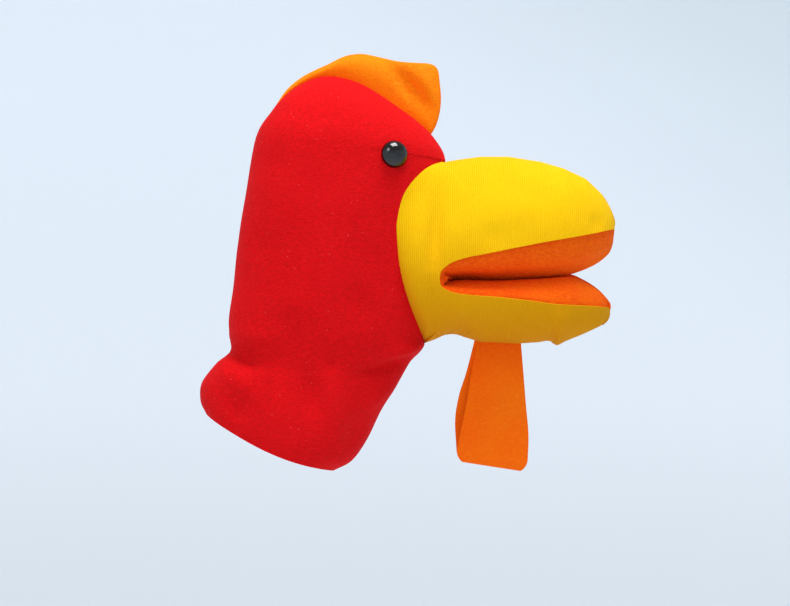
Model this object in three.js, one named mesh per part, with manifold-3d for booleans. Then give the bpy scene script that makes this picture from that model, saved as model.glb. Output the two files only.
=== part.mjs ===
// A hand puppet of a cockerel: a red fleece head and sleeve, a yellow jersey beak lined with
// orange fleece, a padded orange comb, a folded orange wattle and two shanked eyes.
// Millimetres, +Z up. +X runs towards the tip of the beak and Y runs across the puppet, with the
// puppet's own right side at -Y. The origin is the middle of the hand opening.

import * as THREE from "three";
import { LoftGeometry } from "three/addons/geometries/LoftGeometry.js";
import { mergeVertices } from "three/addons/utils/BufferGeometryUtils.js";
import Module from "manifold-3d";

const wasm = await Module();
wasm.setup();

// Head and sleeve
const headHeight = 218; // from the hand opening's middle to the crown
const headDepth = 128; // from the nape to the brow
const headWidth = 84; // across the cheeks
const fleece = 2; // thickness of the red cloth

// Beak
const cornerForward = 99; // the mouth's corner, ahead of the origin
const cornerHeight = 97; // the mouth's corner, above the origin
const beakLength = 105; // from the mouth's corner to the tip
const beakHeight = 108; // at its root
const beakWidth = 83;
const cheekDepth = 26; // yellow cloth behind the mouth's corner
const jersey = 1.6; // thickness of the yellow cloth
const liningCloth = 2; // thickness of the orange lining
const liningBulge = 3; // how far each lining swells into the mouth
const upperLipSlope = 0.25; // rise of the upper lip for each millimetre forward
const lowerLipSlope = -0.104;
const lowerLipDrop = 6; // the lower lip starts this far under the mouth's corner

// Jaw hinge and wrist bend
const jawClearance = 0.7; // the jaw's rear part runs inside the cheek with this much room
const jawNestForward = 13; // the nested part reaches this far ahead of the mouth's corner
const jawFlushForward = 28; // from here on the jaw is flush with the beak's outer face
const jawTuck = 2.8; // the jaw's rear edge is drawn in by this much more, so that it can close
const jawTuckBack = 20; // the tuck is whole this far behind the mouth's corner
const jawTuckStart = 5;
const cheekEdgeAngle = -100; // degrees; the cheek ends on this ray from the mouth's corner
const jawRearAngle = -116; // degrees; the jaw's cloth reaches back to this ray
const wristRadius = 66; // the sleeve bends on a round cut about the wrist
const wristForward = 9;
const wristGap = 0.5;

// Comb
const combHeight = 40; // above the chord of its seam
const combCloth = 1.8;
const combWadding = 3.6;
const combClearance = 2.2; // between the comb and the crown, so that it can flop
const combInset = 3; // the wadding stays this far inside the cloth's edge

// Wattle
const wattleLength = 70;
const wattleTopWidth = 29;
const wattleFootWidth = 41;
const wattleCloth = 2;
const wattleAhead = 32; // its middle, ahead of the mouth's corner
const wattleDrop = 4; // from the jaw to the top of the strip, so that it can swing
const wattleLoopGap = 3.4; // the widest space between its two layers
const wattleCorner = 7;

// Eyes
const eyeRadius = 8;
const eyeDome = 6.2; // how far the dome stands out
const shankRadius = 2;
const shankLength = 9;
const washerRadius = 7.5;
const washerThickness = 1.8;
const washerClearance = 2.4; // the curved cloth bows towards the flat washer by most of this
const eyeRow = 6.95; // along the head's stations
const eyeAngle = 64; // degrees round the head's section, from its front

const gap = 0.3; // between pieces that are sewn or pressed together
const roundSegments = 24; // round the eyes
const reach = 90; // half the depth of a cutting slab
const shoulder = 2.3; // 2 is an ellipse; more squares its shoulders
const ringCount = 22; // along each loft
const ringPoints = 32; // round each loft

const jawNest = Math.max(fleece, jersey) + jawClearance; // under the cheek's outer face
const washerDepth = fleece + washerClearance; // under the cloth's outer face
const nape = -27; // the nape's place behind the origin, which the head's stations count from
const corner = new THREE.Vector2(cornerForward, cornerHeight);

const redFleece = { color: 0xc8141c, roughness: 0.95, metalness: 0 };
const yellowJersey = { color: 0xf0c008, roughness: 0.9, metalness: 0 };
const orangeFleece = { color: 0xf07808, roughness: 0.92, metalness: 0 };
const whiteWadding = { color: 0xe8e6e0, roughness: 1, metalness: 0 };
const blackPlastic = { color: 0x0c0c0e, roughness: 0.12, metalness: 0 };
const clearPlastic = { color: 0xd0d0d0, roughness: 0.4, metalness: 0 };

// ---- solids ----

// A closed geometry as a solid that can be joined and cut.
function solid(geometry) {
  geometry.deleteAttribute("normal");
  geometry.deleteAttribute("uv");
  const merged = mergeVertices(geometry);
  const corners = Array.from(merged.index.array);
  const triVerts = [];
  for (let i = 0; i < corners.length; i += 3) {
    const [a, b, c] = corners.slice(i, i + 3);
    if (a !== b && b !== c && c !== a) triVerts.push(a, b, c);
  }
  return new wasm.Manifold(new wasm.Mesh({
    numProp: 3,
    vertProperties: Float32Array.from(merged.attributes.position.array),
    triVerts: Uint32Array.from(triVerts),
  }));
}

// A finished solid as a named mesh of its own material.
function mesh(name, shape, finish) {
  const { vertProperties, triVerts } = shape.getMesh();
  const geometry = new THREE.BufferGeometry();
  geometry.setAttribute("position", new THREE.BufferAttribute(vertProperties, 3));
  geometry.setIndex(new THREE.BufferAttribute(triVerts, 1));
  geometry.computeVertexNormals();
  const piece = new THREE.Mesh(geometry, new THREE.MeshStandardMaterial(finish));
  piece.name = name;
  return piece;
}

// A slab with a side outline in X and Z, from one y to another.
function slab(outline, fromY = -reach, toY = reach) {
  const shape = new THREE.Shape(outline);
  const geometry = new THREE.ExtrudeGeometry(shape, { depth: toY - fromY, bevelEnabled: false });
  geometry.rotateX(Math.PI / 2);
  geometry.translate(0, toY, 0);
  return solid(geometry);
}

// Rows of station values, smoothed and evaluated at a place counted in stations.
function stationCurve(rows) {
  const places = rows.map((row, i) => i);
  const curve = new THREE.CubicInterpolant(places, rows.flat(), rows[0].length);
  return (place) => Array.from(curve.evaluate(place));
}

// An oval's cosine or sine with squared shoulders.
function squared(value) {
  return Math.sign(value) * Math.abs(value) ** (2 / shoulder);
}

// Points all over a lofted surface, ring by ring from its first station to its last.
function rings(pointAt, stationCount) {
  return Array.from({ length: ringCount + 1 }, (_, i) => {
    const place = (stationCount - 1) * i / ringCount;
    return Array.from({ length: ringPoints }, (_, j) => pointAt(place, 2 * Math.PI * j / ringPoints));
  });
}

// The outward normal at one point of a stack of rings.
function ringNormal(stack, i, j) {
  const around = stack[i].length;
  const next = stack[i][(j + 1) % around];
  const last = stack[i][(j + around - 1) % around];
  const above = stack[Math.min(i + 1, stack.length - 1)][j];
  const below = stack[Math.max(i - 1, 0)][j];
  const along = new THREE.Vector3().subVectors(above, below);
  return new THREE.Vector3().subVectors(next, last).cross(along).normalize();
}

// The rings moved inwards along the surface's normals; a negative depth moves them out.
function inset(stack, depth) {
  return stack.map((points, i) => points.map((point, j) => {
    const amount = typeof depth === "function" ? depth(point) : depth;
    return point.clone().addScaledVector(ringNormal(stack, i, j), -amount);
  }));
}

function loft(stack) {
  return solid(new LoftGeometry(stack, { capStart: true, capEnd: true }));
}

// The same rings with the first one carried on past the open end.
function openStart(stack, distance) {
  const first = stack[0].map((point, j) => {
    const outwards = new THREE.Vector3().subVectors(point, stack[1][j]).normalize();
    return point.clone().addScaledVector(outwards, distance);
  });
  return [first, ...stack];
}

// ---- head and sleeve ----

// Each station is a line across the side view, from the back outline to the front outline: back x
// and z, front x and z, and half the width. X is in shares of the head's depth ahead of the nape,
// Z in shares of its height, and the width in shares of half the head's width.
const headStations = [
  [-0.13, 0.078, 0.547, -0.073, 0.84], // hem
  [-0.14, 0.13, 0.645, 0.0, 0.86],
  [-0.094, 0.195, 0.75, 0.12, 0.85],
  [-0.01, 0.257, 0.859, 0.229, 0.84], // neck
  [0.0, 0.36, 0.93, 0.33, 0.92],
  [0.03, 0.505, 0.975, 0.477, 0.99],
  [0.07, 0.665, 0.99, 0.642, 1.0],
  [0.117, 0.8, 0.992, 0.77, 0.97],
  [0.172, 0.89, 0.9, 0.858, 0.88],
  [0.27, 0.958, 0.745, 0.932, 0.66],
  [0.365, 0.987, 0.6, 0.978, 0.4],
  [0.46, 0.999, 0.5, 0.998, 0.08], // crown
];
const headAt = stationCurve(headStations);

function headPoint(place, angle) {
  const [backX, backZ, frontX, frontZ, width] = headAt(place);
  const back = new THREE.Vector3(nape + backX * headDepth, 0, backZ * headHeight);
  const front = new THREE.Vector3(nape + frontX * headDepth, 0, frontZ * headHeight);
  const middle = back.clone().lerp(front, 0.5);
  middle.addScaledVector(front.sub(back), squared(Math.cos(angle)) / 2);
  middle.y = squared(Math.sin(angle)) * width * headWidth / 2;
  return middle;
}

// ---- beak ----

// Each station is an upright section: its place ahead of the mouth's corner in shares of the
// beak's length, its bottom and top in shares of the beak's height, and its half width.
const beakStations = [
  [-0.44, -0.29, 0.58, 0.81], // inside the head
  [-0.2, -0.345, 0.62, 0.95],
  [-0.086, -0.36, 0.632, 0.99],
  [0.03, -0.352, 0.643, 1.0],
  [0.19, -0.343, 0.662, 1.0],
  [0.352, -0.355, 0.676, 0.98],
  [0.514, -0.366, 0.657, 0.93],
  [0.705, -0.356, 0.606, 0.81],
  [0.838, -0.315, 0.537, 0.655],
  [0.924, -0.26, 0.454, 0.476],
  [0.981, -0.157, 0.352, 0.262],
  [1.0, 0.02, 0.27, 0.08], // tip
];
const beakAt = stationCurve(beakStations);

function beakPoint(place, angle) {
  const [forward, bottom, top, width] = beakAt(place);
  const halfHeight = (top - bottom) / 2;
  return new THREE.Vector3(
    corner.x + forward * beakLength,
    squared(Math.cos(angle)) * width * beakWidth / 2,
    corner.y + (bottom + halfHeight * (1 + squared(Math.sin(angle)))) * beakHeight,
  );
}

// ---- side outlines that divide the cloth ----

// A point at a distance from the mouth's corner, at an angle in degrees above the beak's line.
function fromCorner(distance, degrees) {
  const angle = THREE.MathUtils.degToRad(degrees);
  return new THREE.Vector2(Math.cos(angle), Math.sin(angle)).multiplyScalar(distance).add(corner);
}

// The seam between the head and the beak: forward in shares of the cheek's depth and up in
// shares of the beak's height, from the mouth's corner.
const seamShares = [
  [0.27, 0.86], [0.115, 0.648], [-0.346, 0.593], [-0.808, 0.472], [-1, 0.287], [-1, 0.194],
  [-0.923, 0.046], [-0.731, -0.12], [-0.346, -0.361], [-0.115, -0.49],
];
const seamPoints = 28;
const farAhead = corner.x + beakLength * 1.2; // past everything, for the cutting slabs
const farBelow = beakHeight * 2;
const slabDiagonal = -45; // degrees

function aheadOfSeam(shift) {
  const points = seamShares.map(([forward, up]) => new THREE.Vector2(
    corner.x + forward * cheekDepth + shift,
    corner.y + up * beakHeight,
  ));
  const seam = new THREE.SplineCurve(points).getPoints(seamPoints);
  const low = new THREE.Vector2(farAhead, corner.y - beakHeight * 0.7);
  const high = new THREE.Vector2(farAhead, corner.y + beakHeight);
  return slab([...seam, low, high]);
}

function upperLip(x, offset = 0) {
  return new THREE.Vector2(x, corner.y + 1 + upperLipSlope * (x - corner.x) + offset);
}

function lowerLip(x, offset = 0) {
  return new THREE.Vector2(x, corner.y - lowerLipDrop + lowerLipSlope * (x - corner.x) + offset);
}

// Everything below the upper lip and ahead of the cheek's edge.
const mouthAndJaw = slab([
  upperLip(corner.x),
  upperLip(farAhead),
  fromCorner(farBelow, slabDiagonal),
  fromCorner(farBelow, cheekEdgeAngle),
]);

// Everything below the lower lip and ahead of the jaw's rear edge.
const rearRay = THREE.MathUtils.degToRad(jawRearAngle);
const lipRise = Math.tan(rearRay) - lowerLipSlope;
const jawRearX = corner.x - lowerLipDrop / lipRise;
const belowLowerLip = slab([
  lowerLip(jawRearX),
  lowerLip(farAhead),
  fromCorner(farBelow, slabDiagonal),
  fromCorner(farBelow, jawRearAngle),
]);

// A lining seen from the side: a strip of cloth along a lip, swollen into the mouth.
function liningSlab(lip, into) {
  const start = corner.x + liningCloth + gap;
  const end = corner.x + beakLength;
  const steps = 10;
  const near = [];
  const far = [];
  for (let i = 0; i <= steps; i += 1) {
    const x = THREE.MathUtils.lerp(start, end, i / steps);
    const swell = liningBulge * Math.sin(Math.PI * i / steps);
    near.push(lip(x, into * (gap + swell)));
    far.push(lip(x, into * (gap + swell + liningCloth)));
  }
  return slab([...near, ...far.reverse()]);
}

// ---- the cloth shells ----

const headRings = rings(headPoint, headStations.length);
const beakRings = rings(beakPoint, beakStations.length);
const headHull = loft(headRings);
const beakHull = loft(beakRings);
const hull = headHull.add(beakHull);

function hollow(cloth) {
  const headInside = loft(openStart(inset(headRings, cloth), fleece * 3));
  return headInside.add(loft(inset(beakRings, cloth)));
}

const redShell = hull.subtract(hollow(fleece)).subtract(aheadOfSeam(-gap / 2));
const yellowShell = hull.subtract(hollow(jersey)).intersect(aheadOfSeam(gap / 2));

// How far the jaw's outer face lies under the beak's, over its length.
function nestDepth(point) {
  const forward = point.x - corner.x;
  const nested = 1 - THREE.MathUtils.smoothstep(forward, jawNestForward, jawFlushForward);
  const tucked = 1 - THREE.MathUtils.smoothstep(forward, -jawTuckBack, -jawTuckStart);
  return jawNest * nested + jawTuck * tucked;
}

const jawHull = loft(inset(beakRings, nestDepth));
const jawInside = loft(inset(beakRings, (point) => nestDepth(point) + jersey));
const jawShell = jawHull.subtract(jawInside).intersect(belowLowerLip);

function wristDrum(radius) {
  const drum = solid(new THREE.CylinderGeometry(radius, radius, reach * 2, 72));
  return drum.translate([wristForward, 0, 0]);
}

const headCloth = redShell.subtract(wristDrum(wristRadius + wristGap));
const cuffCloth = redShell.intersect(wristDrum(wristRadius));
const upperBeakCloth = yellowShell.subtract(mouthAndJaw);
const upperLining = liningSlab(upperLip, -1).intersect(beakHull);
const lowerLining = liningSlab(lowerLip, 1).intersect(jawHull);

// ---- eyes ----

function lathe(profile, segments) {
  const points = profile.map(([radius, height]) => new THREE.Vector2(radius, height));
  const geometry = new THREE.LatheGeometry(points, segments);
  return geometry.rotateX(Math.PI / 2);
}

// A dome on a shank, with every face grown outwards by an allowance. Its axis is Z.
function eyeShape(grow) {
  const dome = [];
  const steps = 6;
  for (let i = 0; i <= steps; i += 1) {
    const angle = Math.PI / 2 * i / steps;
    dome.push([(eyeRadius + grow) * Math.cos(angle), (eyeDome + grow) * Math.sin(angle)]);
  }
  const shank = shankRadius + grow;
  const end = -shankLength - grow;
  const foot = [[0, end], [shank, end], [shank, -grow], [eyeRadius + grow, -grow]];
  return solid(lathe([...foot, ...dome], roundSegments));
}

function washerShape() {
  const inner = shankRadius + gap;
  const profile = [
    [inner, -washerDepth - washerThickness], [washerRadius, -washerDepth - washerThickness],
    [washerRadius, -washerDepth], [inner, -washerDepth], [inner, -washerDepth - washerThickness],
  ];
  return solid(lathe(profile, roundSegments));
}

// The place and turn of an eye on the head's surface, on the side of the given sign.
function eyePlace(side) {
  const angle = side * THREE.MathUtils.degToRad(eyeAngle);
  const step = 0.01;
  const point = headPoint(eyeRow, angle);
  const around = headPoint(eyeRow, angle + step).sub(headPoint(eyeRow, angle - step));
  const along = headPoint(eyeRow + step, angle).sub(headPoint(eyeRow - step, angle));
  const normal = around.cross(along).normalize();
  const turn = new THREE.Quaternion().setFromUnitVectors(new THREE.Vector3(0, 0, 1), normal);
  return new THREE.Matrix4().compose(
    point.addScaledVector(normal, gap),
    turn,
    new THREE.Vector3(1, 1, 1),
  );
}

// ---- the two sides ----

const puppet = new THREE.Group();
const sides = [
  { name: "right", sign: -1, half: (shape) => shape.trimByPlane([0, -1, 0], gap / 2) },
  { name: "left", sign: 1, half: (shape) => shape.trimByPlane([0, 1, 0], gap / 2) },
];

for (const { name, sign, half } of sides) {
  const place = eyePlace(sign);
  const eyeHole = eyeShape(gap).transform(place.elements);
  puppet.add(mesh(`head_${name}_panel`, half(headCloth).subtract(eyeHole), redFleece));
  puppet.add(mesh(`cuff_${name}_panel`, half(cuffCloth), redFleece));
  puppet.add(mesh(`beak_upper_${name}_panel`, half(upperBeakCloth), yellowJersey));
  puppet.add(mesh(`beak_lower_${name}_panel`, half(jawShell), yellowJersey));

  const eye = new THREE.Group();
  eye.applyMatrix4(place);
  eye.add(mesh(`${name}_eye`, eyeShape(0), blackPlastic));
  eye.add(mesh(`${name}_eye_washer`, washerShape(), clearPlastic));
  puppet.add(eye);
}

puppet.add(mesh("beak_upper_lining", upperLining, orangeFleece));
puppet.add(mesh("beak_lower_lining", lowerLining, orangeFleece));

// ---- comb ----

// The comb's seam runs over the crown between two points of the head's outline.
const combRear = headPoint(9, Math.PI);
const combFront = headPoint(7.7, 0);
const combChord = new THREE.Vector3().subVectors(combFront, combRear);
const combOutlineShares = [
  [0, 0], [0.054, 0.316], [0.148, 0.579], [0.249, 0.77], [0.343, 0.849], [0.506, 0.894],
  [0.703, 0.946], [0.853, 1.0], [0.936, 0.969], [0.976, 0.811], [1.003, 0.57], [1.015, 0.266], [1, 0],
];

// A point of the comb, along its chord in shares of the chord and up in shares of its height.
function combPoint(along, up) {
  const place = combRear.clone().addScaledVector(combChord, along);
  const lift = new THREE.Vector3(-combChord.z, 0, combChord.x).normalize();
  place.addScaledVector(lift, up * combHeight);
  return new THREE.Vector2(place.x, place.z);
}

const combTop = combOutlineShares.map(([along, up]) => combPoint(along, up));
const combRoot = 0.25; // how far the uncut outline dips under the chord, in shares of its height
const combOutline = [...combTop, combPoint(0.97, -combRoot), combPoint(0.03, -combRoot)];

// The same outline drawn in towards its middle, for the wadding.
function drawnIn(outline, distance) {
  const middle = combPoint(0.5, 0.4);
  return outline.map((point) => {
    const share = 1 - distance / point.distanceTo(middle);
    return middle.clone().lerp(point, share);
  });
}

const crownCut = loft(inset(headRings, -combClearance));
const combFace = combWadding / 2 + gap;
const combSides = { right: [-combFace - combCloth, -combFace], left: [combFace, combFace + combCloth] };
for (const [name, [fromY, toY]] of Object.entries(combSides)) {
  const layer = slab(combOutline, fromY, toY).subtract(crownCut);
  puppet.add(mesh(`comb_${name}_layer`, layer, orangeFleece));
}
const wadding = slab(drawnIn(combOutline, combInset), -combWadding / 2, combWadding / 2);
puppet.add(mesh("comb_wadding", wadding.subtract(crownCut), whiteWadding));

// ---- wattle ----

// The lowest point of the jaw under the wattle's middle.
function jawBottom() {
  const x = corner.x + wattleAhead;
  const lowest = beakRings.flat().filter((point) => Math.abs(point.x - x) < wattleTopWidth / 2);
  return Math.min(...lowest.map((point) => point.z));
}

// One strip of cloth, folded at its foot and closed at its top, seen along X: Y and Z.
function wattleFold(grow) {
  const top = jawBottom() - wattleDrop;
  const foot = top - wattleLength;
  const wide = wattleLoopGap / 2 + grow;
  const narrow = 0.15 + grow;
  const steps = 8;
  const points = [new THREE.Vector2(narrow, grow > 0 ? top : top - wattleCloth)];
  for (let i = 0; i <= steps; i += 1) {
    const angle = Math.PI * i / steps;
    const round = wattleLoopGap / 2 + wattleCloth;
    points.push(new THREE.Vector2(Math.cos(angle) * wide, foot + round - Math.sin(angle) * wide));
  }
  points.push(new THREE.Vector2(-narrow, grow > 0 ? top : top - wattleCloth));
  const shape = new THREE.Shape(points);
  const depth = wattleFootWidth * 1.5;
  const geometry = new THREE.ExtrudeGeometry(shape, { depth, bevelEnabled: false });
  geometry.rotateX(Math.PI / 2).rotateZ(Math.PI / 2);
  geometry.translate(corner.x + wattleAhead - depth / 2, 0, 0);
  return solid(geometry);
}

// The strip's side outline, wider at its foot and with rounded corners there.
function wattleOutline() {
  const middle = corner.x + wattleAhead;
  const top = jawBottom() - wattleDrop;
  const foot = top - wattleLength;
  const taper = (wattleFootWidth - wattleTopWidth) / 2;
  const shape = new THREE.Shape();
  const edge = wattleFootWidth / 2;
  shape.moveTo(middle - edge + taper, top + 1);
  shape.lineTo(middle - edge, foot + wattleCorner);
  shape.quadraticCurveTo(middle - edge, foot, middle - edge + wattleCorner, foot);
  shape.lineTo(middle + edge - wattleCorner, foot);
  shape.quadraticCurveTo(middle + edge, foot, middle + edge, foot + wattleCorner);
  shape.lineTo(middle + edge - taper, top + 1);
  return shape.getPoints(6);
}

const strip = wattleFold(wattleCloth).subtract(wattleFold(0)).intersect(slab(wattleOutline()));
puppet.add(mesh("wattle_strip", strip, orangeFleece));

export default puppet;
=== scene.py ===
import bpy
import numpy as np
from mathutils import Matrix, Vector


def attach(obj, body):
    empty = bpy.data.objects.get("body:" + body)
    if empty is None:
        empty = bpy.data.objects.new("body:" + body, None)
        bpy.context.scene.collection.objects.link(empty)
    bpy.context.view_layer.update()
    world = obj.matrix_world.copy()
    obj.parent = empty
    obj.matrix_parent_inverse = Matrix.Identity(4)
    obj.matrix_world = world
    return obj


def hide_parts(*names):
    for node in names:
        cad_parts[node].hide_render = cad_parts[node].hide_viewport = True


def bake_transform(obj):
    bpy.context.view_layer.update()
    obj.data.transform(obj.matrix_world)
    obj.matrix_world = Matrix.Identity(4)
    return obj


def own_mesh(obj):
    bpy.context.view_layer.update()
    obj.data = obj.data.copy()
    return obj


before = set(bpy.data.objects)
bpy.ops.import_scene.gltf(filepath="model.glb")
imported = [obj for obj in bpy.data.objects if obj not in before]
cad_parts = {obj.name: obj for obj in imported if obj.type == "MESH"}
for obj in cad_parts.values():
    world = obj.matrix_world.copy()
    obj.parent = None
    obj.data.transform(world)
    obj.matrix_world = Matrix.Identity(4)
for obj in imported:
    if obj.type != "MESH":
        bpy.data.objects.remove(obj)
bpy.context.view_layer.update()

# ---- camera and studio ----
# A long portrait lens looks level across the puppet's right side. The studio is a round pale cove
# whose floor curves up into its wall, and the light comes from large soft panels above and in front,
# and from the cove itself, which glows with painted light.

MM = 0.001
camera_data = bpy.data.cameras.new("camera")
camera_data.lens = 85
camera_data.sensor_width = 36
camera = bpy.data.objects.new("camera", camera_data)
camera.location = (0.072, -1.119, 0.0822)
camera.rotation_euler = (np.pi / 2, 0, 0)
bpy.context.scene.collection.objects.link(camera)
bpy.context.scene.camera = camera
bpy.context.scene.view_settings.view_transform = "Standard"


def shading_angle(mesh, degrees=38):
    """Smooth shading, except over edges that turn by more than the angle."""
    mesh.polygons.foreach_set("use_smooth", np.ones(len(mesh.polygons), bool))
    mesh.set_sharp_from_angle(angle=np.radians(degrees))


def link_piece(name, points, faces):
    """Corner points in millimetres and faces by corner number, as an object at the origin."""
    mesh = bpy.data.meshes.new(name)
    mesh.from_pydata((np.asarray(points, float) * MM).tolist(), [], faces.tolist())
    piece = bpy.data.objects.new(name, mesh)
    bpy.context.scene.collection.objects.link(piece)
    return piece


def grid_faces(rows, columns):
    """Four-sided faces between each corner of a grid and its neighbours."""
    index = np.arange(rows * columns).reshape(rows, columns)
    corners = [index[:-1, :-1], index[:-1, 1:], index[1:, 1:], index[1:, :-1]]
    return np.stack(corners, axis=-1).reshape(-1, 4)


class Socket:
    """A node's output that takes part in sums, and adds the Math node that each sum needs."""

    def __init__(self, finish, output):
        self.finish = finish
        self.output = output

    def math(self, operation, *others):
        """One Math node on this output and the others."""
        values = dict(enumerate([self, *others]))
        return self.finish.node("ShaderNodeMath", {"operation": operation}, values)

    def __add__(self, other):
        return self.math("ADD", other)

    def __sub__(self, other):
        return self.math("SUBTRACT", other)

    def __rsub__(self, other):
        return self.finish.node("ShaderNodeMath", {"operation": "SUBTRACT"}, {0: other, 1: self})

    def __mul__(self, other):
        return self.math("MULTIPLY", other)

    def over(self, low, high):
        """0 at and under low, 1 at and over high, and smooth between."""
        settings = {"interpolation_type": "SMOOTHSTEP"}
        values = {"Value": self, "From Min": low, "From Max": high}
        return self.finish.node("ShaderNodeMapRange", settings, values)

    __radd__ = __add__
    __rmul__ = __mul__


class Finish:
    """A material: one shader, with constants on its own sockets, and the nodes that vary it."""

    def __init__(self, name, **constants):
        self.material = bpy.data.materials.new(name)
        self.material.use_nodes = True
        self.tree = self.material.node_tree
        self.shader = self.tree.nodes["Principled BSDF"]
        for socket, value in constants.items():
            self.shader.inputs[socket.replace("_", " ")].default_value = value
        self.place = self.node("ShaderNodeTexCoord", {}, {}, "Object")

    def node(self, kind, settings, values, output=0):
        """Any node: its settings first, then its sockets, each given a value or a link."""
        node = self.tree.nodes.new(kind)
        for setting, value in settings.items():
            setattr(node, setting, value)
        for socket, value in values.items():
            if isinstance(value, Socket):
                self.tree.links.new(value.output, node.inputs[socket])
            else:
                node.inputs[socket].default_value = value
        return Socket(self, node.outputs[output])

    def noise(self, scale, detail=2.0, stretch=(1, 1, 1), place=None):
        """Smooth noise, with so many features to a metre, stretched along each axis."""
        scaled = self.node("ShaderNodeMapping", {}, {"Vector": place or self.place, "Scale": stretch})
        values = {"Vector": scaled, "Scale": scale, "Detail": detail}
        return self.node("ShaderNodeTexNoise", {}, values)

    def mix(self, share, low, high):
        """From one colour to another by a share."""
        values = {0: share, 6: low, 7: high}
        return self.node("ShaderNodeMix", {"data_type": "RGBA"}, values, 2)

    def varies(self, **links):
        """Drives the shader's named sockets, with _ for a space."""
        for socket, value in links.items():
            self.tree.links.new(value.output, self.shader.inputs[socket.replace("_", " ")])

    def relief(self, height, depth):
        """The height, 0 to 1, raised by so many metres as bump on the shader's normal."""
        values = {"Height": height, "Distance": depth, "Strength": 1.0}
        self.varies(Normal=self.node("ShaderNodeBump", {}, values))

    def on(self, piece):
        """Makes this the piece's only material."""
        piece.data.materials.clear()
        piece.data.materials.append(self.material)


def linear(red, green, blue):
    """A screen colour, 0 to 255, as the linear light that a shader takes."""
    screen = np.array([red, green, blue]) / 255
    light = np.where(screen <= 0.04045, screen / 12.92, ((screen + 0.055) / 1.055) ** 2.4)
    return (*light.tolist(), 1.0)


def cove(floor_height=-420, wall_place=2600, bend=900, wall_height=1700):
    """A floor, a quarter turn and a wall, as one profile turned all the way round the puppet."""
    bending = np.linspace(0, np.pi / 2, 24)
    radius = np.r_[0, wall_place - bend + bend * np.sin(bending), wall_place]
    height = np.r_[floor_height, floor_height + bend * (1 - np.cos(bending)), wall_height]
    turn = np.linspace(0, 2 * np.pi, 97)
    x = radius[:, None] * np.cos(turn)
    y = radius[:, None] * np.sin(turn)
    z = np.broadcast_to(height[:, None], x.shape)
    piece = link_piece("cove", np.stack([x, y, z], -1).reshape(-1, 3), grid_faces(*x.shape))
    shading_angle(piece.data)
    return piece


backdrop = cove()
paper = Finish("glowing_studio_paper", Roughness=0.9)
cloudy = paper.noise(0.5, 1.0)
# Painted light: the cove glows. The glow is brightest low on the wall and towards -x, fades higher up
# and towards +x, and is dimmer on the floor. This glow also lights the puppet.
sideways = paper.node("ShaderNodeSeparateXYZ", {}, {"Vector": paper.place}, "X")
upwards = paper.node("ShaderNodeSeparateXYZ", {}, {"Vector": paper.place}, "Z")
falling_off = (sideways * 0.7 + upwards).over(0.45, 1.5)
paper.shader.inputs["Emission Strength"].default_value = 0.33
wall_glow = paper.mix(falling_off, (0.74, 0.8, 0.88, 1), (0.3, 0.4, 0.42, 1))
paper.varies(
    Base_Color=paper.mix(cloudy, linear(206, 213, 220), linear(212, 219, 226)),
    Emission_Color=paper.mix(upwards.over(-0.42, -0.05), (0.55, 0.58, 0.62, 1), wall_glow),
)
paper.on(backdrop)


def panel_light(name, place, aim, size, power, tint):
    """A square soft panel that faces the point it is aimed at."""
    data = bpy.data.lights.new(name, "AREA")
    data.shape = "SQUARE"
    data.size = size
    data.energy = power
    data.color = tint
    light = bpy.data.objects.new(name, data)
    light.location = place
    light.rotation_euler = (Vector(aim) - Vector(place)).to_track_quat("-Z", "Y").to_euler()
    bpy.context.scene.collection.objects.link(light)


puppet_middle = (0.08, 0.0, 0.1)
panel_light("top_panel", (0.3, -0.35, 1.75), puppet_middle, 0.9, 31, (1, 0.98, 0.96))
panel_light("window_panel", (-0.9, -1.5, 1.5), puppet_middle, 0.8, 9, (1, 1, 1))
world = bpy.data.worlds.new("studio")
world.use_nodes = True
world.node_tree.nodes["Background"].inputs["Color"].default_value = (1, 0.98, 0.97, 1)
world.node_tree.nodes["Background"].inputs["Strength"].default_value = 0.38
bpy.context.scene.world = world

# ---- red head and sleeve ----
# Two side panels of brushed fleece, 2 mm thick, sewn together down the back, over the crown and
# down the front. The sleeve is pinched at the wrist and flares to a plain cut hem.

FLEECE = 2.0
SHOULDER = 2.3
SEAM_GAP = 0.02
SEAM_SINK = 1.0
SEAM_WIDTH = 2.2

# Back x and z, front x and z, half the width: from the hem up to the crown.
head_stations = [
    (-41.4, 16.8, 35.9, -17.9, 33),
    (-44.6, 24, 46.5, -12, 35),
    (-43.8, 35, 55.5, 0.5, 35.5),
    (-35, 46, 64, 18, 35),
    (-27.2, 54, 72, 31, 34.5),
    (-27.2, 64, 81, 46, 36.5),
    (-27.4, 74, 90, 58.2, 38.5),
    (-24.4, 92, 94, 84, 40.5),
    (-22, 116, 98, 114, 41.5),
    (-17.8, 146, 101, 144, 42),
    (-11.5, 181, 102.4, 166.8, 41),
    (-1.8, 197, 96.5, 179.5, 36.5),
    (8, 208, 86.4, 189.8, 30),
    (18.4, 214.8, 73, 200, 21.5),
    (27, 217.8, 60, 208.8, 13),
    (35.3, 218.9, 47, 216, 1),
]
# The seam between the red and the yellow, from the throat up to the top of the beak.
beak_seam = [
    (90, 58.2), (79.8, 84), (75, 102), (73.2, 120), (73.4, 131), (78, 147), (90, 160.8), (102.4, 166.8),
]


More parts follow.
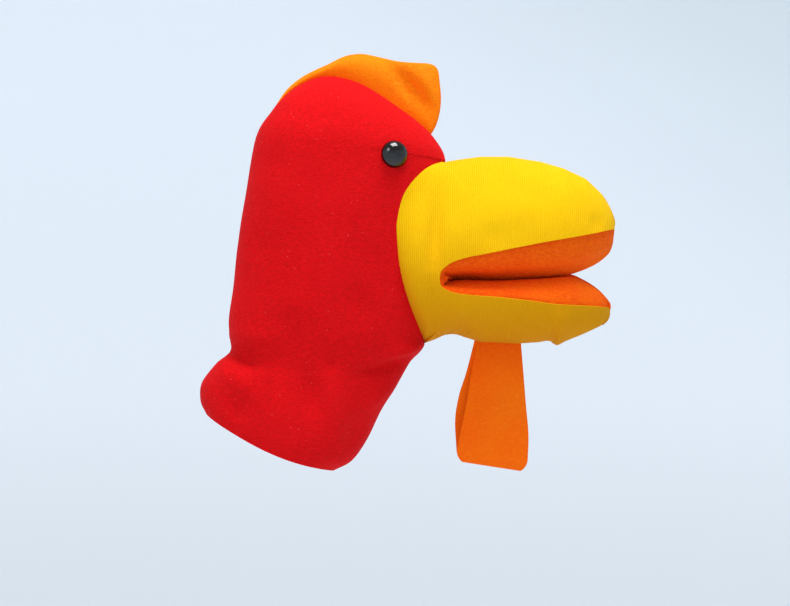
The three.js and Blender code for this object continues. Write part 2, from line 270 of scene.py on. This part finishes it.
def through(points, count, even=True):
    """The Catmull-Rom cubic through each point in turn, walked at even steps of its length, or at
    even shares of each span."""
    given = np.asarray(points, float)
    held = np.vstack([2 * given[0] - given[1], given, 2 * given[-1] - given[-2]])
    steps = np.linspace(0, len(given) - 1, count if not even else 30 * len(given))
    span = np.minimum(steps.astype(int), len(given) - 2)
    f = (steps - span)[:, None]
    a, b, c, d = (held[span + shift] for shift in range(4))
    bend = (2 * a - 5 * b + 4 * c - d) * f**2 + (3 * b - a - 3 * c + d) * f**3
    fine = 0.5 * (2 * b + (c - a) * f + bend)
    if not even:
        return fine
    walked = np.r_[0, np.cumsum(np.linalg.norm(np.diff(fine, axis=0), axis=1))]
    places = np.linspace(0, walked[-1], count)
    return np.column_stack([np.interp(places, walked, column) for column in fine.T])


def powered(value, power):
    """A signed power, which squares a round section's shoulders."""
    return np.sign(value) * np.abs(value) ** power


def head_grid(rows=190, columns=130):
    """Each row is half an oval from the back outline to the front one, ended early where it meets
    the seam of the beak, whose place along the row is found by repeated correction."""
    rows_of = through(head_stations, rows, even=False)
    middle = (rows_of[:, 0:2] + rows_of[:, 2:4]) / 2
    half = (rows_of[:, 2:4] - rows_of[:, 0:2]) / 2
    seam = through(beak_seam, 300)
    reach = np.ones(rows)
    for _ in range(12):
        height = middle[:, 1] + half[:, 1] * reach
        forward = np.interp(height, seam[:, 1], seam[:, 0], left=999, right=999)
        reach = 0.5 * reach + 0.5 * np.clip((forward - middle[:, 0]) / half[:, 0], -1, 1)
    reach = np.where(forward > 900, 1.0, reach)
    last_turn = np.arccos(-powered(reach, SHOULDER / 2))
    turn = last_turn[:, None] * np.linspace(0, 1, columns)[None, :]
    along = -powered(np.cos(turn), 2 / SHOULDER)
    x = middle[:, 0:1] + half[:, 0:1] * along
    z = middle[:, 1:2] + half[:, 1:2] * along
    y = rows_of[:, 4:5] * np.abs(np.sin(turn)) ** (2 / SHOULDER)
    sag = 4.0 * np.exp(-np.linspace(0, 14, rows))[:, None] * np.sin(np.pi * (along + 1) / 2)
    return np.stack([x, y, z - sag], -1)


def ridge(x, z, start, end, width, height):
    """A rounded ridge along the line from start to end, that dies away past its ends. A negative
    height makes a trough."""
    a = np.array(start, float)
    way = np.array(end, float) - a
    share = np.clip(((x - a[0]) * way[0] + (z - a[1]) * way[1]) / (way @ way), 0, 1)
    distance = np.hypot(x - a[0] - share * way[0], z - a[1] - share * way[1])
    return height * (0.3 + 0.7 * np.sin(np.pi * share)) * np.exp(-(distance / width) ** 2)


def lumps(x, z, phase):
    """Broad, shallow unevenness of stuffed cloth: three slow waves that cross each other."""
    first = np.sin(x / 17 + phase) * np.sin(z / 23 + 2.1 * phase)
    second = np.sin(x / 9 - z / 13 + 0.7 * phase)
    third = np.sin(x / 6.1 + z / 7.7 + 1.9 * phase)
    return 0.55 * first + 0.3 * second + 0.12 * third


# Folds of the sleeve and the neck: start, end, width and height.
head_folds = [
    ((92, 60), (63, 48), 4.2, 3.6), ((86, 50), (50, 40), 4.5, -4.2), ((76, 36), (54, 20), 5, 2.2),
    ((-28, 54), (-6, 47), 5, -4.0), ((-26, 63), (2, 61), 6, 1.8), ((-34, 44), (-10, 30), 7, 2.4),
    ((22, 40), (25, 14), 6, -3.4), ((35, 44), (38, 6), 6, 2.2), ((31, 50), (40, 45), 5, -2.4),
    ((6, 34), (2, 6), 7, 1.6), ((-22, 30), (-18, 12), 6, -2.2), ((52, 14), (44, -6), 6, -2.0),
    ((46, 92), (60, 70), 9, -1.6), ((-14, 120), (2, 112), 8, -1.0),
    ((58, 112), (66, 128), 9, 1.0), ((-10, 170), (6, 160), 8, -0.9), ((4, 84), (24, 78), 9, 1.2),
]


def outward(grid):
    """Unit normals of a grid of points, from the cross of its two directions."""
    normal = np.cross(np.gradient(grid, axis=0), np.gradient(grid, axis=1))
    return normal / np.maximum(np.linalg.norm(normal, axis=-1, keepdims=True), 1e-9)


def cloth_piece(name, grid, side, cloth, inside, pattern=None):
    """A grid as a sheet of cloth of its thickness, on the given side of the puppet. The grid is the
    outer face, its doubled corners are merged, and pattern is the cloth's own place as U and V."""
    points = grid.reshape(-1, 3) * np.array([1, side, 1])
    piece = link_piece(name, points, grid_faces(*grid.shape[:2]))
    mesh = piece.data
    if pattern is not None:
        corner = np.zeros(len(mesh.loops), np.int32)
        mesh.loops.foreach_get("vertex_index", corner)
        layer = mesh.uv_layers.new(name="cloth")
        layer.data.foreach_set("uv", pattern.reshape(-1, 2)[corner].ravel())
    weld = piece.modifiers.new("weld", "WELD")
    weld.merge_threshold = 0.02 * MM
    settle(piece)
    middles = np.zeros(len(piece.data.polygons) * 3)
    normals = np.zeros_like(middles)
    piece.data.polygons.foreach_get("center", middles)
    piece.data.polygons.foreach_get("normal", normals)
    away = middles.reshape(-1, 3) - np.array(inside) * MM
    if np.sum(away * normals.reshape(-1, 3)) < 0:
        piece.data.flip_normals()
    if cloth:
        wall = piece.modifiers.new("wall", "SOLIDIFY")
        wall.thickness = cloth * MM
        wall.offset = -1
        settle(piece)
    shading_angle(piece.data)
    return piece


def settle(piece):
    """The piece's modifiers are applied to its mesh."""
    graph = bpy.context.evaluated_depsgraph_get()
    made = bpy.data.meshes.new_from_object(piece.evaluated_get(graph))
    piece.modifiers.clear()
    piece.data = made


def fleece_finish(name, dark, mid, light, pile):
    """Brushed fleece: short fibres laid in small tufts, a soft sheen, and specks of pale lint."""
    cloth = Finish(name, Roughness=0.92, Sheen_Weight=0.12, Sheen_Roughness=0.4)
    cloth.shader.inputs["Specular IOR Level"].default_value = 0.14
    cloth.shader.inputs["Sheen Tint"].default_value = light
    tuft = cloth.noise(520, 4.0, (1, 1, 1.7))
    fibre = cloth.noise(1900, 2.0, (0.5, 0.5, 1.5))
    broad = cloth.noise(22, 2.0)
    shade = cloth.mix(tuft.over(0.3, 0.7) * 0.6 + fibre * 0.4, dark, mid)
    shade = cloth.mix(broad.over(0.35, 0.75) * 0.35, shade, light)
    spots = cloth.node("ShaderNodeTexVoronoi", {}, {"Vector": cloth.place, "Scale": 260.0})
    rare = cloth.noise(60, 1.0).over(0.5, 0.6)
    lint = (1 - spots.over(0.05, 0.13)) * rare
    paler = (*[min(1.0, value * 1.25 + 0.1) for value in light[:3]], 1.0)
    cloth.varies(Base_Color=cloth.mix(lint * 0.5, shade, paler), Roughness=0.82 + fibre * 0.16)
    cloth.relief(tuft * 0.6 + fibre * 0.4, pile * MM)
    return cloth


red_fleece = fleece_finish("red_fleece", linear(196, 2, 8), linear(230, 5, 13), linear(236, 12, 20), 0.7)

red_grid = head_grid()
seam_edge = red_grid[:, -1, :].copy()
for side, side_name in ((-1, "right"), (1, "left")):
    grid = red_grid.copy()
    folds = sum(ridge(grid[..., 0], grid[..., 2], *fold) for fold in head_folds)
    across = np.linspace(0, 1, grid.shape[1])[None, :]
    calm = np.clip((1 - across) / 0.16, 0, 1) * np.clip(across / 0.06, 0, 1)
    rise = folds + 0.8 * lumps(grid[..., 0], grid[..., 2], 1.3 + side)
    normal = outward(grid)
    normal *= np.sign(np.mean(normal[..., 1]))
    stitched = SEAM_SINK * np.exp(-((grid[..., 1] / SEAM_WIDTH) ** 2))
    grid += normal * (rise * calm - stitched)[..., None]
    grid[..., 1] = np.maximum(grid[..., 1], SEAM_GAP)
    panel = cloth_piece(f"head_{side_name}_cloth", grid, side, FLEECE, (30, 0, 110))
    red_fleece.on(panel)
    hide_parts(f"head_{side_name}_panel", f"cuff_{side_name}_panel")
    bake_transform(panel)

# ---- yellow beak ----
# Two side panels of ribbed jersey, 1.6 mm thick, that wrap round the mouth's corner. Each is shown
# as an upper piece, which keeps to the head, and a jaw piece below it.

JERSEY = 1.6
mouth_corner = (97.8, 96)
beak_top = [
    (102.4, 166.8), (109.5, 168), (123, 169.8), (140, 169.8), (159, 166.8), (172.5, 163), (186, 156.8),
    (195, 148.6), (200.6, 140), (204, 131), (203.6, 126.4),
]
beak_bottom = [
    (90, 58.2), (96, 60.4), (103, 63), (110.4, 62.6), (123, 58.8), (145.5, 57.8), (158, 58.6),
    (164.5, 59),
    (169, 56.6), (173.5, 58.8), (186, 64), (195, 68), (200.4, 73), (201.2, 79.6),
]
upper_lip = [
    (97.8, 96), (99, 101), (105, 105.6), (114, 108.6), (123, 110.4), (136.5, 113.2), (159, 117.6),
    (181.2, 121.6), (203.6, 126.4),
]
lower_lip = [
    (97.8, 96), (99, 91.6), (105, 88.4), (114, 86.8), (132, 85.4), (150, 83.4), (168, 81.2),
    (201.2, 79.6),
]
beak_widths = [
    (50, 33), (62, 36.5), (78, 39.6), (90, 41), (105, 41.5), (112, 41.4), (133, 41), (156, 38),
    (173, 33.4),
    (187, 26.4), (196, 19.5), (201.4, 11.5), (204.2, 0.15),
]
jaw_widths = [
    (50, 33), (62, 36.5), (78, 39.6), (90, 41), (105, 41.5), (112, 41.4), (133, 40), (156, 36.4),
    (173, 31), (187, 23), (196, 14), (201.4, 0.15),
]


def beak_half_width(x, z, lower):
    """The beak's oval section at x: full width at the mouth's middle line, closing to nothing at
    the top and bottom outlines."""
    top = np.interp(x, *np.array([(60, 158), (80, 163), (95, 165.6), *beak_top[:-1]]).T)
    low = np.interp(x, *np.array([(60, 72), (80, 60), *beak_bottom[:-1]]).T)
    line = np.interp(x, [60, 98, 204], [100, 96, 104])
    share = np.where(z > line, (z - line) / (top - line), (line - z) / (line - low))
    widths = through(jaw_widths if lower else beak_widths, 400)
    full = np.interp(x, widths[:, 0], widths[:, 1])
    return full * np.clip(1 - np.clip(share, 0, 1) ** SHOULDER, 0, 1) ** (1 / SHOULDER)


def beak_grid(inner, outer, lower, rows=76, columns=210):
    """Straight lines from each point of the lip to its partner on the outline, crowded towards the
    outline, stood off to the oval's width, and met with the red cloth along the seam."""
    near = through(inner, columns)
    far = through(outer, columns)
    seam_y = np.interp(far[:, 1], seam_edge[:, 2], seam_edge[:, 1])
    on_seam = far[:, 0] < np.where(lower, 90.01, 102.41)
    share = np.sin(np.linspace(0, np.pi / 2, rows))[:, None]
    x = near[None, :, 0] * (1 - share) + far[None, :, 0] * share
    z = near[None, :, 1] * (1 - share) + far[None, :, 1] * share
    y = beak_half_width(x, z, lower)
    want = np.where(on_seam, seam_y, SEAM_GAP)
    y = y + (want - y[-1]) * share**7
    way = near - far
    way = way / np.maximum(np.linalg.norm(way, axis=1, keepdims=True), 1)
    sink = np.where(share > 0.5, SEAM_SINK * np.exp(-((y / SEAM_WIDTH) ** 2)), 0) * (x < 196)
    x = x + way[None, :, 0] * sink
    z = z + way[None, :, 1] * sink
    return np.stack([x, np.maximum(y, SEAM_GAP), z], -1)


def jersey_pattern(grid):
    """U counts millimetres along the beak, and V millimetres round its section."""
    round_it = np.arctan2(grid[..., 2] - 98, grid[..., 1]) * 52
    return np.stack([grid[..., 0], round_it], -1)


def jersey_finish():
    """Ribbed jersey: upright wales 1.2 mm apart, each a column of small stitches, with a little
    fluff, and painted shade: a darker, warmer amber low on the beak."""
    cloth = Finish("yellow_jersey", Roughness=0.88, Sheen_Weight=0.04, Sheen_Roughness=0.5)
    cloth.shader.inputs["Specular IOR Level"].default_value = 0.1
    cloth.shader.inputs["Sheen Tint"].default_value = linear(255, 232, 90)
    pattern = cloth.node("ShaderNodeUVMap", {"uv_map": "cloth"}, {})
    parts = {"Vector": pattern}
    along = cloth.node("ShaderNodeSeparateXYZ", {}, parts, "X")
    up = cloth.node("ShaderNodeSeparateXYZ", {}, parts, "Y")
    stray = cloth.noise(90, 2.0)
    wale = ((along + stray * 1.1) * (2 * np.pi / 1.22)).math("SINE") * 0.5 + 0.5
    stitch = ((up + wale * 0.35) * (2 * np.pi / 0.95)).math("SINE") * 0.5 + 0.5
    fluff = cloth.noise(900, 3.0)
    broad = cloth.noise(26, 2.0)
    # Painted shade in the grooves: where the wales dip, the yellow is painted darker. It is mixed with
    # random tone from the fluff.
    shade = cloth.mix(wale * 0.5 + fluff * 0.5, linear(228, 166, 0), linear(255, 204, 4))
    shade = cloth.mix(broad.over(0.35, 0.7) * 0.3, shade, linear(255, 210, 12))
    # Painted shade: the yellow is mixed fully to a darker amber below 45 mm up, fading out by 140 mm,
    # standing in for the shade under the beak.
    height = cloth.node("ShaderNodeSeparateXYZ", {}, {"Vector": cloth.place}, "Z")
    shade = cloth.mix(height.over(0.045, 0.14), linear(212, 132, 0), shade)
    cloth.varies(Base_Color=shade, Roughness=0.8 + fluff * 0.18)
    cloth.relief(wale * 0.5 + stitch * 0.2 + fluff * 0.6, 0.3 * MM)
    return cloth


yellow_jersey = jersey_finish()
seam_heights = np.array(through(beak_seam, 120))
split = seam_heights[:, 1] < mouth_corner[1]
rear_seam = [tuple(point) for point in seam_heights[~split][::6]]
throat_seam = [tuple(point) for point in seam_heights[split][::-1][::6]]
split_point = (np.interp(mouth_corner[1], seam_heights[:, 1], seam_heights[:, 0]), mouth_corner[1])
upper_outline = [split_point, *rear_seam[1:], *beak_top]
lower_outline = [split_point, *throat_seam[1:], *beak_bottom]
beak_folds = [
    ((97, 142), (94, 106), 4.5, -3.6), ((85, 134), (85, 90), 6, 1.2),
    ((118, 70), (150, 66), 6, -1.6), ((104, 78), (120, 74), 6, 1.4), ((160, 72), (178, 70), 5, 1.6),
    ((92, 92), (98, 72), 5, -1.8), ((132, 134), (160, 140), 10, 1.0), ((120, 120), (140, 122), 7, -0.9),
    ((186, 132), (196, 128), 6, -1.2), ((112, 66), (108, 76), 4, -1.4), ((140, 74), (146, 62), 5, 1.2),
]
for side, side_name in ((-1, "right"), (1, "left")):
    for part, inner, outer, lower in (
        ("upper", upper_lip, upper_outline, False), ("lower", lower_lip, lower_outline, True),
    ):
        grid = beak_grid(inner, outer, lower)
        rise = sum(ridge(grid[..., 0], grid[..., 2], *fold) for fold in beak_folds)
        rise = rise + 0.45 * lumps(grid[..., 0], grid[..., 2], 0.4 + side)
        share = np.linspace(0, 1, grid.shape[0])[:, None]
        rise = rise * np.clip((1 - share) / 0.2, 0, 1)
        grid[..., 1] = np.maximum(grid[..., 1] + rise * np.clip(grid[..., 1] / 20, 0, 1), SEAM_GAP)
        name = f"beak_{part}_{side_name}_cloth"
        panel = cloth_piece(name, grid, side, JERSEY, (140, 0, 100), jersey_pattern(grid))
        yellow_jersey.on(panel)
        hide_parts(f"beak_{part}_{side_name}_panel")
        if lower:
            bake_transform(panel)
        else:
            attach(panel, "head")

# ---- mouth linings ----
# Two sheets of orange fleece, one under the upper beak and one over the jaw, sewn to the lips. They
# swell into the mouth and touch; the upper keeps to the head and the lower to the jaw.

LINING = 2.0
upper_swell = [
    (97.8, 96.4), (105, 96.2), (114, 96.4), (132, 96.1), (159, 97.8), (175.8, 100.1), (190.2, 105.5),
    (199.2, 112), (202.4, 118), (203.6, 126.2),
]
lower_swell = [
    (97.8, 95.9), (105, 95.8), (114, 96.0), (132, 95.7), (159, 97.4), (175.8, 98.6), (184.8, 95.4),
    (193.2, 90), (199, 84), (200.6, 81.4), (201.2, 79.8),
]
ALLOWANCE = 7.0  # how far the cloth turns on past the lip
LINING_START = 98.3  # just ahead of the hinge
ROLL = 7.0  # how far the cloth rolled round the mouth's corner stands forward


def lining_grid(lip, swell, lower, rows=120, columns=96):
    """Across the mouth each row is a swollen oval between the lips, and its two ends turn on up
    the inside of the beak's cloth as the seam's allowance. The first rows bow forward in the
    middle, where they pass in front of the roll at the corner."""
    fine = through(lip, 900)
    edge = through(lip, rows)
    edge = edge[edge[:, 0] > LINING_START]
    across = np.linspace(-1, 1, columns)[None, :]
    face = np.clip(across / 0.86, -1, 1)
    turned = np.clip((np.abs(across) - 0.86) / 0.14, 0, 1)
    oval = np.sqrt(1 - np.abs(face) ** 2.4)
    x = edge[:, 0:1] + 0.8 * ROLL * oval * np.exp(-(edge[:, 0:1] - edge[0, 0]) / 9)
    lip_height = np.interp(x, fine[:, 0], fine[:, 1])
    crest = np.interp(x, *through(swell, 300).T)
    room = np.clip((edge[-1, 0] - x) / 12, 0, 1) * np.clip((x - 97) / 8, 0, 1)
    height = lip_height + (crest - lip_height) * oval
    wave = 1.3 * np.sin(2.6 * np.pi * face) * (1 - face**2) * np.clip((x - 97.8) / 14, 0, 1)
    height = height + wave + turned * ALLOWANCE * room * (-1 if lower else 1)
    wall = beak_half_width(x, lip_height, lower) - JERSEY - 0.4
    inside = np.minimum(beak_half_width(x, height, lower) - JERSEY - 0.4, wall)
    y = face * np.where(turned > 0, np.maximum(inside, 0.05), np.maximum(wall, 0.05))
    return np.stack([np.broadcast_to(x, y.shape), y, height], -1)


orange_lining = fleece_finish(
    "orange_lining", linear(238, 66, 0), linear(255, 106, 0), linear(255, 128, 4), 0.6,
)
for part, lip, swell, lower, body, rear, tip in (
    ("upper", upper_lip, upper_swell, False, "head", (105, 105.2), (203.6, 127.2)),
    ("lower", lower_lip, lower_swell, True, "lower_jaw", (105, 87.6), (201.2, 78.6)),
):
    grid = lining_grid(lip, swell, lower)
    inside = (150, 0, 60) if lower else (150, 0, 150)
    lining = cloth_piece(f"beak_{part}_lining_cloth", grid, 1, LINING, inside)
    orange_lining.on(lining)
    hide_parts(f"beak_{part}_lining")
    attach(lining, body)
    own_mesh(lining)

# ---- mouth corner ----
# Where the linings are sewn to each other, the cloth rolls round the mouth's corner. Its lower end
# runs on under the jaw's lining as a tongue, which covers the gap there as the mouth opens. It
# passes through both linings near the corner.

TUCK = 2.8  # how far its ends lie behind the linings
TUCK_START = 100
TUCK_LENGTH = 3
UPPER_END = 104.8
TONGUE_END = 118.0
ROLL_HEIGHT = 96.5
ROLL_SPREAD = 7.5  # up and down
ROLL_LENGTH = 9  # fore and aft
upper_part = through(upper_lip, 200)
lower_part = through(lower_lip, 200)
upper_part = upper_part[upper_part[:, 0] < UPPER_END][::-1]
lower_part = lower_part[lower_part[:, 0] < TONGUE_END][1:]
lip_line = through(np.vstack([upper_part, lower_part]), 90)


def corner_grid(columns=72):
    """The lip's line round the corner, carried across the mouth and pushed into it at right angles
    by a swollen oval, most at the corner itself. Away from the corner it is narrower and lies
    behind the linings, by their thickness."""
    way = np.gradient(lip_line, axis=0)
    way = way / np.linalg.norm(way, axis=1, keepdims=True)
    into = np.stack([-way[:, 1], way[:, 0]], -1)
    across = np.linspace(-1, 1, columns)[None, :]
    level = np.exp(-((lip_line[:, 1:2] - ROLL_HEIGHT) / ROLL_SPREAD) ** 2)
    nearness = level * np.exp(-((lip_line[:, 0:1] - mouth_corner[0]) / ROLL_LENGTH) ** 2)
    behind = np.clip((lip_line[:, 0:1] - TUCK_START) / TUCK_LENGTH, 0, 1)
    push = ROLL * nearness * np.sqrt(1 - np.abs(across) ** 2.4) - TUCK * behind
    x = lip_line[:, 0:1] + into[:, 0:1] * push
    z = lip_line[:, 1:2] + into[:, 1:2] * push
    wall = beak_half_width(lip_line[:, 0:1], lip_line[:, 1:2], True) - JERSEY - 0.3 - TUCK * behind
    return np.stack([x, wall * across, z], -1)


corner_fold = cloth_piece("mouth_corner_cloth", corner_grid(), 1, LINING, (60, 0, 96))
orange_lining.on(corner_fold)
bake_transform(corner_fold)

# ---- comb ----
# A padded crest of bright orange fleece: two layers sewn round their edge, stuffed with a sheet of
# wadding, and sewn into the seam over the crown. Its front end folds over a little.

COMB_CLOTH = 1.5
comb_top = [
    (-1.8, 197.2), (6.6, 209.6), (15, 216.9), (23.4, 221.6), (31.8, 225.4), (40.2, 229.6), (46.2, 231.2),
    (53, 231.6), (61.2, 230), (73.8, 227.2), (84.9, 226.3), (93.4, 225.6), (97.6, 222.2), (99, 213),
    (99.6, 204.6), (98.8, 196.2), (96.6, 188.6), (93.6, 183.2),
]
comb_base = [
    (-1.4, 196.6), (8, 206.6), (18.4, 213.2), (27, 216.2), (36, 217.2), (47, 214.4), (60, 207.4),
    (73, 198.6), (86, 188.6), (93.2, 182.6),
]


def comb_grid(grow, rows=56, columns=150):
    """Lines from the crown's seam up to the edge, puffed between them as a rounded cushion, with
    one slanting trough where the front end folds."""
    foot = through(comb_base, columns)
    edge = through(comb_top, columns)
    up = np.sin(np.linspace(0, np.pi / 2, rows))[:, None]
    x = foot[None, :, 0] * (1 - up) + edge[None, :, 0] * up
    z = foot[None, :, 1] * (1 - up) + edge[None, :, 1] * up
    ends = np.sin(np.linspace(0, np.pi, columns))[None, :] ** 0.4
    narrowing = 0.55 + 0.45 * np.sin(np.pi * up / 1.3)
    puff = (6.4 + grow) * ends * np.sqrt(np.clip(1 - up**2.2, 0, 1)) * narrowing
    puff = puff + ridge(x, z, (70, 225), (92, 199), 5.0, -5.2) * (1 - up**4)
    puff = puff + ridge(x, z, (88, 221), (96, 203), 5, 2.4) * (1 - up**4)
    return np.stack([x, np.maximum(puff, 0.03), z], -1)


orange_comb = fleece_finish(
    "orange_comb", linear(250, 110, 0), linear(255, 142, 4), linear(255, 156, 10), 0.45,
)
white_wadding = Finish("white_wadding", Roughness=1.0)
wisps = white_wadding.noise(500, 4.0)
white_wadding.varies(Base_Color=white_wadding.mix(wisps, linear(214, 212, 206), linear(240, 239, 235)))
white_wadding.relief(wisps, 0.6 * MM)

for side, side_name in ((-1, "right"), (1, "left")):
    layer = cloth_piece(f"comb_{side_name}_cloth", comb_grid(0), side, COMB_CLOTH * 0.6, (50, 0, 205))
    orange_comb.on(layer)
    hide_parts(f"comb_{side_name}_layer")
    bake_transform(layer)

# The wadding stops short of the sewn edge, and closes on itself at its foot and its two ends.
half = comb_grid(-2.6)[:42, 8:-8]
half[..., 1] *= np.sin(np.linspace(0, np.pi, half.shape[1])) ** 0.4
mirrored = half[::-1] * np.array([1, -1, 1])
whole = np.concatenate([half, mirrored, half[:1]])
wadding = cloth_piece("comb_wadding_sheet", whole, 1, 0, (50, 0, 205))
white_wadding.on(wadding)
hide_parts("comb_wadding")
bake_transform(wadding)

# ---- wattle ----
# One strip of orange felt, folded at its foot into a loop, both ends sewn under the jaw. The far
# layer hangs a little behind the near one, so the cut edge and the loop's inside both show.

FELT = 1.8
wattle_near_left = [(121.6, 60), (117.6, 40), (115, 23.4), (111.4, 6), (109, -7)]
wattle_near_right = [(147.4, 60), (148.8, 41.6), (150.4, 20.2), (151.8, 4.2), (151.4, -10)]
wattle_far_left = [(119.8, 60), (114.8, 40.5), (110.6, 27), (108.2, 12), (109, -7)]


def wattle_grid(rows=64, columns=44, turn_rows=20):
    """Down the near layer, round a half circle at the foot and up the far layer, as one profile
    whose left and right ends follow the strip's two edges."""
    near_left = through(wattle_near_left, rows)
    near_right = through(wattle_near_right, rows)
    far_left = through(wattle_far_left, rows)[::-1]
    down = np.linspace(0, 1, rows)
    swell = 0.9 + 3.4 * np.sin(np.pi * np.clip(down, 0, 1)) ** 1.3 * down + 2.1 * down
    turn = np.linspace(0, np.pi, turn_rows)[1:-1]
    drop = 6.2 * np.sin(turn)
    left = np.vstack([near_left, near_left[-1] - np.stack([0 * drop, drop], -1), far_left])
    right = np.vstack([near_right, near_right[-1] - np.stack([0.1 * drop, drop], -1), near_right[::-1]])
    away = np.r_[-swell, -swell[-1] * np.cos(turn), swell[::-1]]
    share = np.linspace(0, 1, columns)[None, :]
    corner = np.clip((-6 - left[:, 1]) / 8, 0, 1)
    inset = 6.5 * (1 - np.sqrt(1 - 0.98 * corner**2))
    left[:, 0] += inset
    right[:, 0] -= inset
    x = left[:, 0:1] * (1 - share) + right[:, 0:1] * share
    z = left[:, 1:2] * (1 - share) + right[:, 1:2] * share
    z = z - 2.4 * share * np.clip((10 - z) / 16, 0, 1)
    y = away[:, None] + 0.5 * np.sin(np.pi * share) * np.sign(away[:, None])
    return np.stack([x, y, z], -1)


orange_felt = fleece_finish(
    "orange_felt", linear(252, 88, 0), linear(255, 112, 0), linear(255, 130, 6), 0.4,
)
wattle = cloth_piece("wattle_strip_cloth", wattle_grid(), 1, FELT, (132, 0, 25))
orange_felt.on(wattle)
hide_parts("wattle_strip")
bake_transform(wattle)

# ---- eyes and washers ----
# Each eye is one moulded black plastic dome on a shank. The shank goes through the cloth, and a
# pressed plastic washer locks it from inside. Both were turned or moulded, so both are revolved.

eye_radius = 8.0
eye_way = Vector((0.3106, -0.9445, 0.1067)).normalized()
eye_seat = np.array([71.52, -37.52, 168.36])


def revolved(name, profile, seat, way, side, segments=72):
    """A profile of radius and height turned all the way round an axis at the seat."""
    turn = np.linspace(0, 2 * np.pi, segments + 1)[None, :]
    radius = np.array(profile)[:, 0:1]
    height = np.array(profile)[:, 1:2]
    axis = np.array(way)
    first = np.cross(axis, [0, 0, 1.0])
    first /= np.linalg.norm(first)
    second = np.cross(axis, first)
    grid = (
        seat + first * (radius * np.cos(turn))[..., None] + second * (radius * np.sin(turn))[..., None]
        + axis * (height + 0 * turn)[..., None]
    )
    return cloth_piece(name, grid, 1 if side < 0 else -1, 0, (seat + axis * -0.5) * [1, -side, 1])


quarter = np.linspace(0, np.pi / 2, 26)
dome = np.column_stack([eye_radius * np.cos(quarter), 0.4 + 5.8 * np.sin(quarter)])
eye_profile = np.vstack([[(0, -9), (1.7, -9), (2, -8.7), (2, -0.3), (7.6, -0.3), (7.95, 0)], dome])
washer_profile = [
    (2.4, -6.2), (7.2, -6.2), (7.5, -5.9), (7.5, -4.8), (7.2, -4.4), (3.2, -4.4), (2.4, -5.1),
    (2.4, -6.2),
]
black_plastic = Finish("black_plastic", Roughness=0.09, Coat_Weight=0.25, Coat_Roughness=0.04)
haze = black_plastic.noise(140, 2.0)
black_plastic.varies(
    Base_Color=black_plastic.mix(haze, linear(3, 3, 4), linear(9, 9, 10)), Roughness=0.06 + haze * 0.08,
)
washer_plastic = Finish("washer_plastic", Roughness=0.4)
cloud = washer_plastic.noise(300, 2.0)
washer_plastic.varies(Base_Color=washer_plastic.mix(cloud, linear(196, 198, 200), linear(224, 226, 228)))
for side, side_name in ((-1, "right"), (1, "left")):
    for node, profile, plastic in (
        (f"{side_name}_eye", eye_profile, black_plastic),
        (f"{side_name}_eye_washer", washer_profile, washer_plastic),
    ):
        piece = revolved(f"{node}_moulding", profile, eye_seat, eye_way, side)
        plastic.on(piece)
        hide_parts(node)
        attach(piece, "head")
